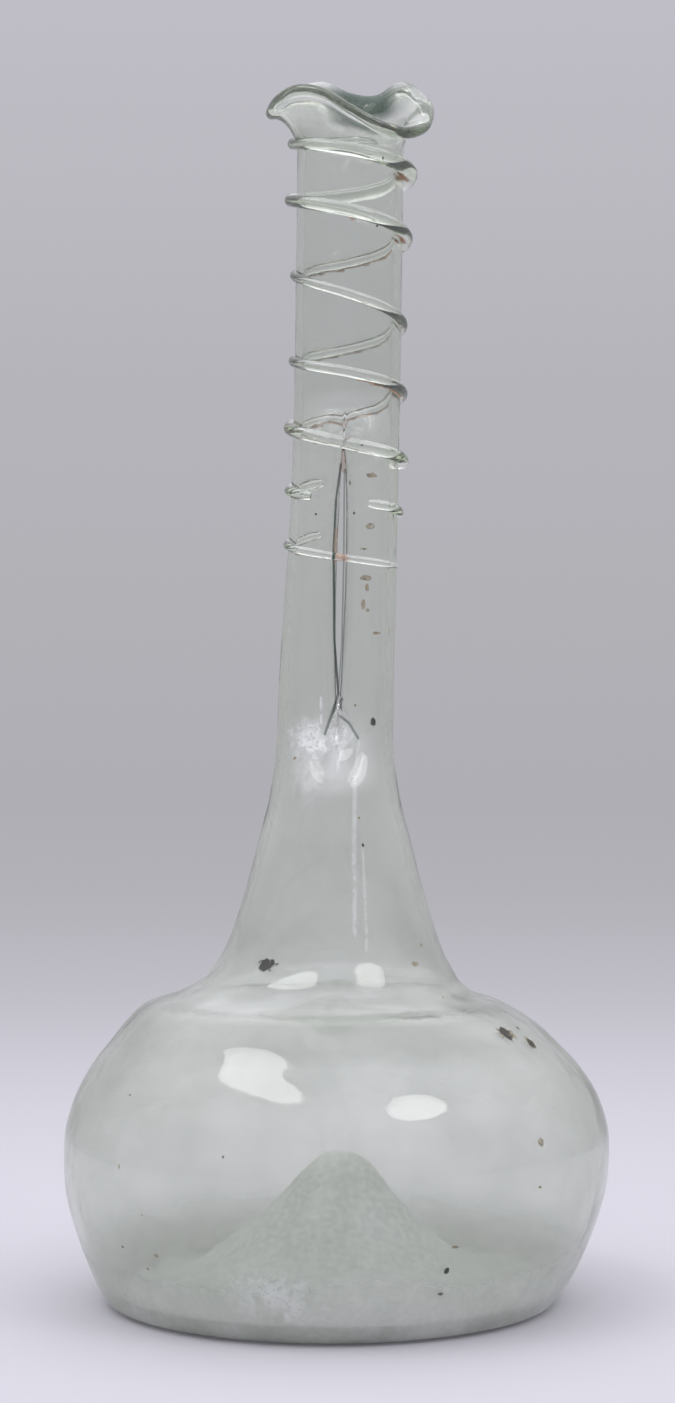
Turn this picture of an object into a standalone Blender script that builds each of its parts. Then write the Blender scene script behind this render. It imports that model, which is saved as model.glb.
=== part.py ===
"""Free-blown glass bottle: squat body, neck divided into two tubes, wavy lip and a wound trail.

The vessel is one wall that runs from the underside of the base, up the outside, over the lip, down
the inside and back to the base. Its sections change from a circle to two tubes side by side, so the
wall is a loft: a grid is wrapped round each half of the vessel. The trail is a swept rod that is
fused to the neck. Units are metres, +X is to the right and -Y faces the viewer.
"""
import math

import bmesh
import bpy
import numpy
from mathutils import Vector

MM = 0.001

# Base: a narrow flat ring carries the bottle, and a cone is pushed up inside it.
RING_INNER_RADIUS = 49.5 * MM
RING_OUTER_RADIUS = 52.8 * MM
HEEL_RADIUS = 57.9 * MM
HEEL_HEIGHT = 3.7 * MM
PUNT_HEIGHT = 36.8 * MM
PUNT_THICKNESS = 2.8 * MM
PUNT_SHIFT = 1.3 * MM

# Body and the cone of the lower neck.
BODY_RADIUS = 68.0 * MM
WIDEST_HEIGHT = 37.0 * MM
SHOULDER_RADIUS = 38.0 * MM
SHOULDER_HEIGHT = 76.2 * MM
FOOT_RADIUS = 14.5 * MM
FOOT_HEIGHT = 142.0 * MM
BODY_WALL = 1.9 * MM

# Neck: round above, and pinched along its middle into two tubes below.
NECK_RADIUS = 13.3 * MM
NECK_WALL = 2.0 * MM
CROTCH_DROP = 16.0 * MM
PINCH_RISE = 6.5 * MM
GATHER_RISE = 14.0 * MM
CROTCH_LOW = FOOT_HEIGHT - CROTCH_DROP
PINCH_LOW = FOOT_HEIGHT + PINCH_RISE
PINCH_HIGH = 212.0 * MM
CROTCH_HIGH = PINCH_HIGH + GATHER_RISE
WEB_WIDTH = 2.2 * MM
WEB_NARROW = 0.5 * MM
WEB_THICKNESS = 1.6 * MM
SEPTUM = 2.8 * MM
CHANNEL_TAPER = 5.0 * MM
SEAM_SHIFT_LOW = 0.5 * MM
SEAM_SHIFT_HIGH = -0.6 * MM

# Lip, as (share of its rise above the neck, share of its radius) at each sixteenth of a turn, from
# +X towards the back.
NECK_TOP = 286.0 * MM
LIP_RISE = 20.0 * MM
LIP_RADIUS = 18.6 * MM
LIP_THICKNESS = 3.0 * MM
LIP_FOLD_THICKNESS = 4.6 * MM
LIP_FOLD_TURN = math.radians(60)
LIP_WAVE = ((0.55, 1.016), (0.765, 1.022), (0.96, 1.011), (0.82, 0.968), (0.855, 0.946), (0.98, 0.952),
            (0.91, 1.000), (0.74, 1.038), (0.51, 1.059), (0.59, 1.043), (0.67, 1.011), (0.6, 0.978),
            (0.39, 0.957), (0.21, 0.968), (0.16, 1.000), (0.29, 1.027))

# Shape between those sizes, as (share of the height, share of the change in radius).
SWELL = ((0.07, 0.147), (0.21, 0.365), (0.36, 0.565), (0.5, 0.73), (0.65, 0.872), (0.79, 0.958))
DOME = ((0.16, 0.01), (0.32, 0.07), (0.44, 0.143), (0.57, 0.256), (0.69, 0.393), (0.82, 0.555), (0.94, 0.77))
CONE = ((0.047, 0.221), (0.088, 0.319), (0.167, 0.451), (0.282, 0.57), (0.434, 0.698), (0.586, 0.806),
        (0.738, 0.915), (0.89, 0.979))

# The pushed-in cone, as (share of the ring's radius, share of the cone's height).
PUNT = ((0.0, 1.0), (0.08, 0.982), (0.16, 0.897), (0.21, 0.812), (0.3, 0.66), (0.42, 0.485),
        (0.6, 0.274), (0.78, 0.106), (0.92, 0.018), (1.0, 0.0))

# The axis wanders, as it does in blown glass: (share of the neck's height, share of the reach) of its
# shift to the right.
LEAN_REACH = 3.5 * MM
LEAN_ROUNDING = 3.0 * MM
LEAN = ((0.000, -0.429), (0.035, -0.229), (0.087, -0.114), (0.140, 0), (0.182, 0), (0.210, -0.143),
        (0.241, -0.4), (0.262, -1.06), (0.280, -0.371), (0.315, -0.2), (0.490, -0.129), (0.559, 0.0571),
        (0.699, 0.557), (0.787, 0.743), (0.909, 0.886), (1.014, 1))

# Trail, as (share of the neck's height, share of the trail's thickness, share of the thickness that
# stands proud) at each half turn. The first is at the right side, the next at the left side, and the
# front is passed on the way back to the right.
TRAIL_THICKNESS = 3.0 * MM
TRAIL = ((1.0280, 0.867, 0.8), (1.0091, 1, 0.86), (0.9818, 1.3, 0.9), (0.9601, 1.17, 0.9),
         (0.9259, 1.03, 0.82), (0.8944, 0.8, 0.64), (0.8507, 0.867, 0.6), (0.8199, 0.867, 0.6),
         (0.7913, 1, 0.6), (0.7615, 1.1, 0.72), (0.7318, 1.07, 0.78), (0.7063, 0.967, 0.62),
         (0.6871, 0.8, 0.62), (0.6591, 0.733, 0.55), (0.6392, 0.533, 0.45))
# What is left of it, as (first, last) half turn. The lengths between these are broken away.
TRAIL_RUNS = ((0.3, 10.08), (10.64, 11.29), (11.65, 12.05), (12.64, 13.95))

HALF_STEPS = 16
TRAIL_STEPS = 9


def lerp(a, b, share):
    return a + (b - a) * share


def smooth(share):
    share = min(max(share, 0.0), 1.0)
    return share * share * (3 - 2 * share)


def spline(points, share):
    """Point of the Catmull-Rom curve through points of any dimension, at a share of its spans."""
    place = min(max(share, 0.0), 1.0) * (len(points) - 1)
    span = min(int(place), len(points) - 2)
    t = place - span
    p0, p1, p2, p3 = (points[min(max(span + n, 0), len(points) - 1)] for n in (-1, 0, 1, 2))
    return [0.5 * (2 * b + (c - a) * t + (2 * a - 5 * b + 4 * c - d) * t ** 2
                   + (3 * b - a - 3 * c + d) * t ** 3) for a, b, c, d in zip(p0, p1, p2, p3)]


def follow(points, count):
    """Points evenly spaced along the curve through the given ones, both ends included."""
    fine = numpy.array([spline(points, k / 800) for k in range(801)])
    travelled = numpy.append(0.0, numpy.cumsum(numpy.linalg.norm(numpy.diff(fine, axis=0), axis=1)))
    goals = numpy.linspace(0.0, travelled[-1], count)
    return [Vector(pair) for pair in zip(*(numpy.interp(goals, travelled, axis) for axis in fine.T))]


def offset(line, walls):
    """A (radius, height) line moved to its left by a wall's thickness at each point."""
    last = len(line) - 1
    slopes = [(line[min(k + 1, last)] - line[max(k - 1, 0)]).normalized() for k in range(last + 1)]
    return [point + Vector((-slope.y, slope.x)) * wall
            for point, slope, wall in zip(line, slopes, walls)]


def lean(height):
    """Sideways shift of the axis at a height, rounded off between the rows of the table."""
    heights, shifts = zip(*LEAN)
    near = [(height + LEAN_ROUNDING * k / 4) / NECK_TOP for k in range(-4, 5)]
    return LEAN_REACH * float(numpy.mean(numpy.interp(near, heights, shifts)))


def pinch(height):
    """How far the neck is pinched: 0 where it is round, 1 where it is two tubes."""
    return min(smooth((height - CROTCH_LOW) / (PINCH_LOW - CROTCH_LOW)),
               smooth((CROTCH_HIGH - height) / (CROTCH_HIGH - PINCH_HIGH)))


def neck_radius(height):
    """Half width of the neck between its foot and its top."""
    return lerp(FOOT_RADIUS, NECK_RADIUS,
                smooth((height - FOOT_HEIGHT) / (PINCH_HIGH - FOOT_HEIGHT)))


def web_width(height):
    """Width of the web between the tubes: narrow where they part, and widest halfway up."""
    share = (height - PINCH_LOW) / (PINCH_HIGH - PINCH_LOW)
    return lerp(WEB_NARROW, WEB_WIDTH, max(math.sin(math.pi * min(max(share, 0.0), 1.0)), 0.0) ** 0.7)


def tube_radius(radius, height):
    """Radius of each of the two tubes that make up a pinched neck of the given half width."""
    reach = radius - web_width(height) / 2
    return (reach ** 2 + (WEB_THICKNESS / 2) ** 2) / (2 * reach)


def turn_of(step):
    """Angle of a step round the right half: the front centre first, the back centre last."""
    return math.pi * (step / HALF_STEPS - 0.5)


def outer_section(radius, height, step):
    """Right half of an outer section, between a circle and two tubes joined by a web."""
    turn = turn_of(step)
    circle = Vector((radius * math.cos(turn), radius * math.sin(turn)))
    tube = tube_radius(radius, height)
    if step in (0, HALF_STEPS):
        tubes = Vector((0.0, math.copysign(WEB_THICKNESS / 2, turn)))
    else:
        sweep = math.pi - math.asin(WEB_THICKNESS / 2 / tube)
        angle = lerp(-sweep, sweep, (step - 1) / (HALF_STEPS - 2))
        tubes = Vector((radius - tube + tube * math.cos(angle), tube * math.sin(angle)))
    return circle.lerp(tubes, pinch(height))


def septum(height):
    """Thickness of the glass between the two channels: none where the neck is open."""
    share = (height - PINCH_LOW) / (PINCH_HIGH - PINCH_LOW)
    return SEPTUM * math.sqrt(max(math.sin(math.pi * min(max(share, 0.0), 1.0)), 0.0))


def seam_shift(height, aside):
    """Sideways shift of a point of the pinched neck, from all of it at the seam to none at the sides."""
    share = (height - PINCH_LOW) / (PINCH_HIGH - PINCH_LOW)
    return lerp(SEAM_SHIFT_LOW, SEAM_SHIFT_HIGH, share) * pinch(height) * (1 - aside)


def inner_section(radius, wall, height, step):
    """Right half of an inner section, whose channel keeps half of the septum from the middle."""
    turn = turn_of(step)
    circle = Vector(((radius - wall) * math.cos(turn), (radius - wall) * math.sin(turn)))
    middle = radius - tube_radius(radius, height)
    bore = tube_radius(radius, height) - wall
    angle = 2 * turn
    inward = ((1 - math.cos(angle)) / 2) ** 3
    reach = lerp(bore, middle - septum(height) / 2, inward)
    channel = Vector((middle + reach * math.cos(angle), bore * math.sin(angle)))
    return circle.lerp(channel, pinch(height))


def flare_point(turn, along, around):
    """Point of the flared wall. Along goes from 0 at the neck to 1 at the lip's middle, and around
    from 0 on the outside, over the lip, to pi on the inside."""
    place = turn / (2 * math.pi) % 1.0 * len(LIP_WAVE)
    near = [LIP_WAVE[(int(place) + k) % len(LIP_WAVE)] for k in (-1, 0, 1, 2)]
    rise, spread = spline(near, (1 + place % 1.0) / 3)
    folded = ((1 + math.cos(turn - LIP_FOLD_TURN)) / 2) ** 2
    thickness = lerp(LIP_THICKNESS, LIP_FOLD_THICKNESS, folded)
    sunk = (thickness - LIP_THICKNESS) / 2
    lip = Vector((LIP_RADIUS * spread, NECK_TOP + LIP_RISE * rise - sunk))
    root = Vector((NECK_RADIUS - NECK_WALL / 2, NECK_TOP))
    steep = root + Vector((0.0, 0.5 * (lip.y - root.y)))
    flat = lip - Vector((0.5 * (lip.x - root.x), -0.05 * (lip.y - root.y)))
    back = 1 - along
    middle = (root * back ** 3 + steep * (3 * back ** 2 * along) + flat * (3 * back * along ** 2)
              + lip * along ** 3)
    slope = ((steep - root) * back ** 2 + (flat - steep) * (2 * back * along)
             + (lip - flat) * along ** 2).normalized()
    outward = Vector((slope.y, -slope.x))
    half_wall = lerp(NECK_WALL, thickness, along ** 2) / 2
    return middle + (outward * math.cos(around) + slope * math.sin(around)) * half_wall


def body_line():
    """Outer (radius, height) line from the heel to the foot of the neck."""
    heel = Vector((HEEL_RADIUS, HEEL_HEIGHT))
    widest = Vector((BODY_RADIUS, WIDEST_HEIGHT))
    shoulder = Vector((SHOULDER_RADIUS, SHOULDER_HEIGHT))
    foot = Vector((FOOT_RADIUS, FOOT_HEIGHT))
    line = [heel]
    for start, end, shape in ((heel, widest, SWELL), (widest, shoulder, DOME), (shoulder, foot, CONE)):
        line += [Vector((lerp(start.x, end.x, r), lerp(start.y, end.y, h))) for h, r in shape]
        line.append(end)
    return line


def punt_line():
    """Upper (radius, height) line of the pushed-in cone, from its tip to the ring."""
    rise = PUNT_HEIGHT - PUNT_THICKNESS
    return [Vector((RING_INNER_RADIUS * r, PUNT_THICKNESS + rise * h)) for r, h in PUNT]


def wall_rows():
    """The rows of the wall in order, each a function that gives the point at (step, side)."""
    rows = []

    def base(radius, height):
        shift = lerp(PUNT_SHIFT, lean(0.0), min(radius / RING_INNER_RADIUS, 1.0))

        def point(step, side):
            turn = turn_of(step)
            return Vector((side * radius * math.cos(turn) + shift, radius * math.sin(turn), height))
        rows.append(point)

    def outside(radius, height):
        def point(step, side):
            flat = outer_section(radius, height, step)
            shift = lean(height) + seam_shift(height, flat.x / radius)
            return Vector((side * flat.x + shift, flat.y, height))
        rows.append(point)

    def inside(radius, height, wall):
        def point(step, side):
            flat = inner_section(radius, wall, height, step)
            shift = lean(height) + seam_shift(height, flat.x / radius)
            return Vector((side * flat.x + shift, flat.y, height))
        rows.append(point)

    def flared(along, around):
        def point(step, side):
            turn = turn_of(step) if side > 0 else math.pi - turn_of(step)
            flat = flare_point(turn, along, around)
            return Vector((flat.x * math.cos(turn) + lean(flat.y), flat.x * math.sin(turn), flat.y))
        rows.append(point)

    punt = follow(punt_line(), 8)
    under = offset(punt, [-PUNT_THICKNESS] * len(punt))
    base(0.0, PUNT_HEIGHT - PUNT_THICKNESS)
    for place in under[1:-1]:
        base(place.x, place.y)
    base(RING_INNER_RADIUS, 0.0)
    base(RING_OUTER_RADIUS, 0.0)
    base(lerp(RING_OUTER_RADIUS, HEEL_RADIUS, 0.6), HEEL_HEIGHT * 0.26)

    outer = follow(body_line(), 23)
    for place in outer:
        outside(place.x, place.y)
    crotch = [FOOT_HEIGHT + (PINCH_LOW - FOOT_HEIGHT) * k for k in (0.4, 0.7, 1.0)]
    neck = [lerp(PINCH_LOW, PINCH_HIGH, k / 4) for k in (1, 2, 3, 4)]
    gather = [lerp(PINCH_HIGH, CROTCH_HIGH, k / 3) for k in (1, 2, 3)]
    straight = [lerp(CROTCH_HIGH, NECK_TOP, k / 3) for k in (1, 2)]
    for height in (*crotch, *neck, *gather, *straight):
        outside(neck_radius(height), height)

    for along in (0.0, 0.3, 0.55, 0.8):
        flared(along, 0.0)
    for k in range(5):
        flared(1.0, math.pi * k / 4)
    for along in (0.8, 0.55, 0.3, 0.0):
        flared(along, math.pi)

    for height in (*straight[::-1], *gather[::-1]):
        inside(neck_radius(height), height, NECK_WALL)
    tapered = [CHANNEL_TAPER * share for share in (0.0, 0.2, 0.5, 1.0)]
    for height in (*(PINCH_HIGH - drop for drop in tapered),
                   lerp(PINCH_LOW, PINCH_HIGH, 0.66), lerp(PINCH_LOW, PINCH_HIGH, 0.33),
                   *(PINCH_LOW + rise for rise in reversed(tapered))):
        inside(neck_radius(height), height, NECK_WALL)
    for height in crotch[-2::-1]:
        inside(neck_radius(height), height, NECK_WALL)
    walls = [lerp(BODY_WALL, NECK_WALL, smooth((place.y - SHOULDER_HEIGHT) / (FOOT_HEIGHT - SHOULDER_HEIGHT)))
             for place in outer]
    for place, wall in reversed(list(zip(offset(outer, walls), walls))):
        inside(place.x + wall, place.y, wall)
    base(RING_OUTER_RADIUS, PUNT_THICKNESS + BODY_WALL / 3)
    for place in reversed(punt):
        base(place.x, place.y)
    return rows


def build_vessel(collection, material):
    """Wrap one grid round each half of the vessel and weld the two along the front and the back."""
    rows = wall_rows()
    shape = bmesh.new()
    for side in (1, -1):
        grid = bmesh.ops.create_grid(shape, x_segments=HALF_STEPS, y_segments=len(rows) - 1, size=1.0)
        for vert in grid["verts"]:
            step = round((vert.co.x + 1) / 2 * HALF_STEPS)
            row = round((vert.co.y + 1) / 2 * (len(rows) - 1))
            vert.co = rows[row](step, side)
    bmesh.ops.remove_doubles(shape, verts=shape.verts, dist=0.01 * MM)
    bmesh.ops.recalc_face_normals(shape, faces=shape.faces)
    bmesh.ops.triangulate(shape, faces=shape.faces, quad_method="SHORT_EDGE")
    mesh = bpy.data.meshes.new("bottle")
    shape.to_mesh(mesh)
    shape.free()
    mesh.materials.append(material)
    bottle = bpy.data.objects.new("bottle", mesh)
    collection.objects.link(bottle)
    return bottle


def trail_point(place):
    """Centre of the trail and its radius after so many half turns."""
    level, weight, proud = spline(TRAIL, place / (len(TRAIL) - 1))
    height, thickness = NECK_TOP * level, TRAIL_THICKNESS * weight
    turn = math.pi * place
    radius = neck_radius(height)
    middle = (radius - tube_radius(radius, height)) * pinch(height)
    across = radius * math.cos(turn)
    beyond = math.copysign(max(abs(across) - middle, 0.0), across)
    depth = math.copysign(math.sqrt(max((radius - middle) ** 2 - beyond ** 2, 0.0)), math.sin(turn))
    outward = Vector((beyond, depth, 0.0)).normalized()
    centre = Vector((across + lean(height), depth, height)) + outward * (thickness * (proud - 0.5))
    return centre, thickness / 2


def build_trail(number, start, end, collection):
    """One unbroken length of the trail as a closed mesh."""
    steps = max(3, round((end - start) * TRAIL_STEPS))
    curve = bpy.data.curves.new(f"trail_{number}", "CURVE")
    curve.dimensions = "3D"
    curve.bevel_depth = 1.0
    curve.bevel_resolution = 2
    curve.use_fill_caps = True
    line = curve.splines.new("POLY")
    line.points.add(steps)
    for k, point in enumerate(line.points):
        centre, radius = trail_point(lerp(start, end, k / steps))
        point.co = (*centre, 1.0)
        point.radius = radius
    swept = bpy.data.objects.new(curve.name, curve)
    collection.objects.link(swept)
    bpy.context.view_layer.update()
    mesh = bpy.data.meshes.new_from_object(swept.evaluated_get(bpy.context.evaluated_depsgraph_get()))
    closed = bmesh.new()
    closed.from_mesh(mesh)
    bmesh.ops.remove_doubles(closed, verts=closed.verts, dist=0.01 * MM)
    bmesh.ops.recalc_face_normals(closed, faces=closed.faces)
    closed.to_mesh(mesh)
    closed.free()
    rod = bpy.data.objects.new(curve.name, mesh)
    collection.objects.link(rod)
    bpy.data.objects.remove(swept)
    rod.hide_render = True
    rod.display_type = "WIRE"
    return rod


def main():
    for thing in list(bpy.data.objects):
        bpy.data.objects.remove(thing)
    parts = bpy.data.collections.new("Bottle")
    joined = bpy.data.collections.new("Fused lengths")
    for collection in (parts, joined):
        bpy.context.scene.collection.children.link(collection)

    glass = bpy.data.materials.new("Pale green glass")
    glass.use_nodes = True
    surface = glass.node_tree.nodes["Principled BSDF"]
    surface.inputs["Base Color"].default_value = (0.72, 0.80, 0.75, 1.0)
    surface.inputs["Roughness"].default_value = 0.08
    surface.inputs["Metallic"].default_value = 0.0
    surface.inputs["IOR"].default_value = 1.5
    surface.inputs["Transmission Weight"].default_value = 1.0

    bottle = build_vessel(parts, glass)
    for number, (start, end) in enumerate(TRAIL_RUNS):
        fuse = bottle.modifiers.new(f"Trail {number}", "BOOLEAN")
        fuse.operation = "UNION"
        fuse.solver = "EXACT"
        fuse.object = build_trail(number, start, end, joined)
    bottle.data.shade_smooth()
    bottle.data.set_sharp_from_angle(angle=math.radians(50))


main()
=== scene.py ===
# %% [markdown]
# # A blown glass bottle with a divided neck
#
# The bottle was blown free-hand in thin, pale green glass. Its base is pushed up into a cone, its neck
# is pinched into two tubes over part of its height, its lip is a wavy, out-turned edge, and a thread of
# glass is wound round the neck. The imported model already has this form in coarse facets. Here the same
# measures make a smooth wall, and the finish shows what age has left on it, with some painted light and
# shade.

# %% Load the imported model
import math

import bmesh
import bpy
import numpy
from mathutils import Euler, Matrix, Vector, noise
from mathutils.bvhtree import BVHTree
from mathutils.kdtree import KDTree


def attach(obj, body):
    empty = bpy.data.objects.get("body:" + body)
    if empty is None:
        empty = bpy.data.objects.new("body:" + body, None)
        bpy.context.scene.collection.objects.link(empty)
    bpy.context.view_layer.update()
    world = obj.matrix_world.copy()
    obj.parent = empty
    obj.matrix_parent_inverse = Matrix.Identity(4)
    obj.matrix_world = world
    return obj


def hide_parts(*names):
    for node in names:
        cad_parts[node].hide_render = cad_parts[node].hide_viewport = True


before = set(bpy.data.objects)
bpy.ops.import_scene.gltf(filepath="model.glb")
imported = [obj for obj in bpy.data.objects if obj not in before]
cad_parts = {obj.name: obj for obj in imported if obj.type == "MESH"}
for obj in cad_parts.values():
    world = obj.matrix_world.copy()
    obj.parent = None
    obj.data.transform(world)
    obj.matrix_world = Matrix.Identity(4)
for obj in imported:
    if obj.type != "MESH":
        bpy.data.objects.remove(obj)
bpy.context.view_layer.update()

MM = 0.001

# %% [markdown]
# ## The measures
#
# Glass blowers work by eye, so nothing here is quite round or quite upright. The outline is kept as a
# few named sizes and, between them, as shares of the way from one size to the next. A table of the
# axis' sideways shift gives the lean. The alternative, a long list of measured points, would be harder
# to read and to change.

# %% Sizes of the vessel
RING_INNER_RADIUS = 49.5 * MM
RING_OUTER_RADIUS = 52.8 * MM
HEEL_RADIUS = 57.9 * MM
HEEL_HEIGHT = 3.7 * MM
PUNT_HEIGHT = 36.8 * MM
PUNT_THICKNESS = 2.8 * MM
PUNT_SHIFT = 1.3 * MM
BODY_RADIUS = 68.0 * MM
WIDEST_HEIGHT = 37.0 * MM
SHOULDER_RADIUS = 38.0 * MM
SHOULDER_HEIGHT = 76.2 * MM
FOOT_RADIUS = 14.5 * MM
FOOT_HEIGHT = 142.0 * MM
BODY_WALL = 1.9 * MM
NECK_RADIUS = 13.3 * MM
NECK_WALL = 2.0 * MM
CROTCH_DROP = 16.0 * MM
PINCH_RISE = 6.5 * MM
GATHER_RISE = 14.0 * MM
CROTCH_LOW = FOOT_HEIGHT - CROTCH_DROP
PINCH_LOW = FOOT_HEIGHT + PINCH_RISE
PINCH_HIGH = 212.0 * MM
CROTCH_HIGH = PINCH_HIGH + GATHER_RISE
WEB_WIDTH = 2.2 * MM
WEB_NARROW = 0.5 * MM
WEB_THICKNESS = 1.6 * MM
SEPTUM = 2.8 * MM
CHANNEL_TAPER = 5.0 * MM
SEAM_SHIFT_LOW = 0.5 * MM
SEAM_SHIFT_HIGH = -0.6 * MM
NECK_TOP = 286.0 * MM
LIP_RISE = 20.0 * MM
LIP_RADIUS = 18.6 * MM
LIP_THICKNESS = 3.0 * MM
LIP_FOLD_THICKNESS = 4.6 * MM
LIP_FOLD_TURN = math.radians(60)
print("body and neck, mm wide:", round(2 * BODY_RADIUS / MM, 1), round(2 * NECK_RADIUS / MM, 1))

# %% Shapes between the sizes
# Lip, as shares of its rise and of its radius at each sixteenth of a turn, from +X towards the back.
LIP_WAVE = ((0.55, 1.016), (0.765, 1.022), (0.96, 1.011), (0.82, 0.968), (0.855, 0.946), (0.98, 0.952),
            (0.91, 1.000), (0.74, 1.038), (0.51, 1.059), (0.59, 1.043), (0.67, 1.011), (0.6, 0.978),
            (0.39, 0.957), (0.21, 0.968), (0.16, 1.000), (0.29, 1.027))
# Shares of the height and of the change in radius from the heel to the widest place, from there to the
# shoulder, and from the shoulder to the foot of the neck.
SWELL = ((0.07, 0.147), (0.21, 0.365), (0.36, 0.565), (0.5, 0.73), (0.65, 0.872), (0.79, 0.958))
DOME = ((0.16, 0.01), (0.32, 0.07), (0.44, 0.143), (0.57, 0.256), (0.69, 0.393), (0.82, 0.555),
        (0.94, 0.77))
CONE = ((0.047, 0.221), (0.088, 0.319), (0.167, 0.451), (0.282, 0.57), (0.434, 0.698),
        (0.586, 0.806), (0.738, 0.915), (0.89, 0.979))
# Shares of the ring's radius and of the height of the pushed-in cone, or punt.
PUNT = ((0.0, 1.0), (0.08, 0.982), (0.16, 0.897), (0.21, 0.812), (0.3, 0.66), (0.42, 0.485),
        (0.6, 0.274), (0.78, 0.106), (0.92, 0.018), (1.0, 0.0))
print(len(SWELL) + len(DOME) + len(CONE), "places between the sizes,", len(LIP_WAVE), "round the lip")

# %% Lean of the axis
# Shares of the neck's height and of the reach of the lean to the right.
LEAN_REACH = 3.5 * MM
LEAN_ROUNDING = 3.0 * MM
LEAN = ((0.000, -0.429), (0.035, -0.229), (0.087, -0.114), (0.140, 0), (0.182, 0), (0.210, -0.143),
        (0.241, -0.4), (0.262, -1.06), (0.280, -0.371), (0.315, -0.2), (0.490, -0.129),
        (0.559, 0.0571), (0.699, 0.557), (0.787, 0.743), (0.909, 0.886), (1.014, 1))
print("the lean is given at", len(LEAN), "heights")

# %% [markdown]
# ## Curves through the measures
#
# A Catmull-Rom curve passes through every point that it is given, so the bottle keeps its measured
# sizes and is smooth between them. Points are then spaced evenly along the curve, because even rows
# of faces bend light evenly. Uneven rows would show in clear glass as rings.

# %% Curve helpers
FINE_STEPS = 1600


def lerp(a, b, share):
    return a + (b - a) * share


def smooth(share):
    share = min(max(share, 0.0), 1.0)
    return share * share * (3 - 2 * share)


def spline(points, share):
    """Point of the Catmull-Rom curve through points of any dimension, at a share of its spans."""
    place = min(max(share, 0.0), 1.0) * (len(points) - 1)
    span = min(int(place), len(points) - 2)
    t = place - span
    p0, p1, p2, p3 = (points[min(max(span + n, 0), len(points) - 1)] for n in (-1, 0, 1, 2))
    return [0.5 * (2 * b + (c - a) * t + (2 * a - 5 * b + 4 * c - d) * t ** 2
                   + (3 * b - a - 3 * c + d) * t ** 3) for a, b, c, d in zip(p0, p1, p2, p3)]


def follow(points, count):
    """Points evenly spaced along the curve through the given ones, both ends included."""
    fine = numpy.array([spline(points, k / FINE_STEPS) for k in range(FINE_STEPS + 1)])
    travelled = numpy.append(0.0, numpy.cumsum(numpy.linalg.norm(numpy.diff(fine, axis=0), axis=1)))
    goals = numpy.linspace(0.0, travelled[-1], count)
    return [Vector(pair) for pair in zip(*(numpy.interp(goals, travelled, axis) for axis in fine.T))]


def offset(line, walls):
    """A (radius, height) line moved to its left by a wall's thickness at each point."""
    last = len(line) - 1
    slopes = [(line[min(k + 1, last)] - line[max(k - 1, 0)]).normalized() for k in range(last + 1)]
    return [point + Vector((-slope.y, slope.x)) * wall
            for point, slope, wall in zip(line, slopes, walls)]


def lean(height):
    """Sideways shift of the axis at a height, rounded off between the rows of the table."""
    heights, shifts = zip(*LEAN)
    near = [(height + LEAN_ROUNDING * k / 6) / NECK_TOP for k in range(-6, 7)]
    return LEAN_REACH * float(numpy.mean(numpy.interp(near, heights, shifts)))


print("lean at the lip, mm:", round(lean(NECK_TOP + LIP_RISE) / MM, 2))

# %% [markdown]
# ## The divided neck
#
# The blower squeezed the hot neck along its middle until the two walls met, which left two tubes side
# by side with a thin web between them. Above and below, the pinch opens into a plain round neck. A
# section is therefore a blend between a circle and a figure of eight, and a single number for each
# height, the pinch, says how far it has gone. Two separate tubes joined by Booleans would leave hard
# creases where the real glass flows.

# %% How the pinch goes with height
def pinch(height):
    """How far the neck is pinched: 0 where it is round, 1 where it is two tubes."""
    return min(smooth((height - CROTCH_LOW) / (PINCH_LOW - CROTCH_LOW)),
               smooth((CROTCH_HIGH - height) / (CROTCH_HIGH - PINCH_HIGH)))


def neck_radius(height):
    return lerp(FOOT_RADIUS, NECK_RADIUS,
                smooth((height - FOOT_HEIGHT) / (PINCH_HIGH - FOOT_HEIGHT)))


def up_the_pinch(height):
    """Share of the way up the pinched length of the neck."""
    return (height - PINCH_LOW) / (PINCH_HIGH - PINCH_LOW)


def fullness(height):
    """0 where the tubes part or meet and beyond, and 1 halfway up the pinched length."""
    return max(math.sin(math.pi * min(max(up_the_pinch(height), 0.0), 1.0)), 0.0)


def web_width(height):
    """Width of the web between the tubes: narrow where they part, and widest halfway up."""
    return lerp(WEB_NARROW, WEB_WIDTH, fullness(height) ** 0.7)


def tube_radius(radius, height):
    """Radius of each of the two tubes that make up a pinched neck of the given half width."""
    reach = radius - web_width(height) / 2
    return (reach ** 2 + (WEB_THICKNESS / 2) ** 2) / (2 * reach)


tube = tube_radius(NECK_RADIUS, PINCH_HIGH)
print("each tube is", round(2 * tube / MM, 1), "mm wide and its bore", round(2 * (tube - NECK_WALL) / MM, 1))


# %% Sections of the wall
HALF_STEPS = 64


def turn_of(step):
    """Angle of a step round the right half: the front centre first, the back centre last."""
    return math.pi * (step / HALF_STEPS - 0.5)


def outer_section(radius, height, step):
    """Right half of an outer section, between a circle and two tubes joined by a web."""
    turn = turn_of(step)
    circle = Vector((radius * math.cos(turn), radius * math.sin(turn)))
    tube = tube_radius(radius, height)
    if step in (0, HALF_STEPS):
        tubes = Vector((0.0, math.copysign(WEB_THICKNESS / 2, turn)))
    else:
        sweep = math.pi - math.asin(WEB_THICKNESS / 2 / tube)
        angle = lerp(-sweep, sweep, (step - 1) / (HALF_STEPS - 2))
        tubes = Vector((radius - tube + tube * math.cos(angle), tube * math.sin(angle)))
    return circle.lerp(tubes, pinch(height))


def septum(height):
    """Thickness of the glass between the two channels: none where the neck is open."""
    return SEPTUM * math.sqrt(fullness(height))


def seam_shift(height, aside):
    """Sideways shift of a point of the pinched neck, from all of it at the seam to none at the sides."""
    return lerp(SEAM_SHIFT_LOW, SEAM_SHIFT_HIGH, up_the_pinch(height)) * pinch(height) * (1 - aside)


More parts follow.
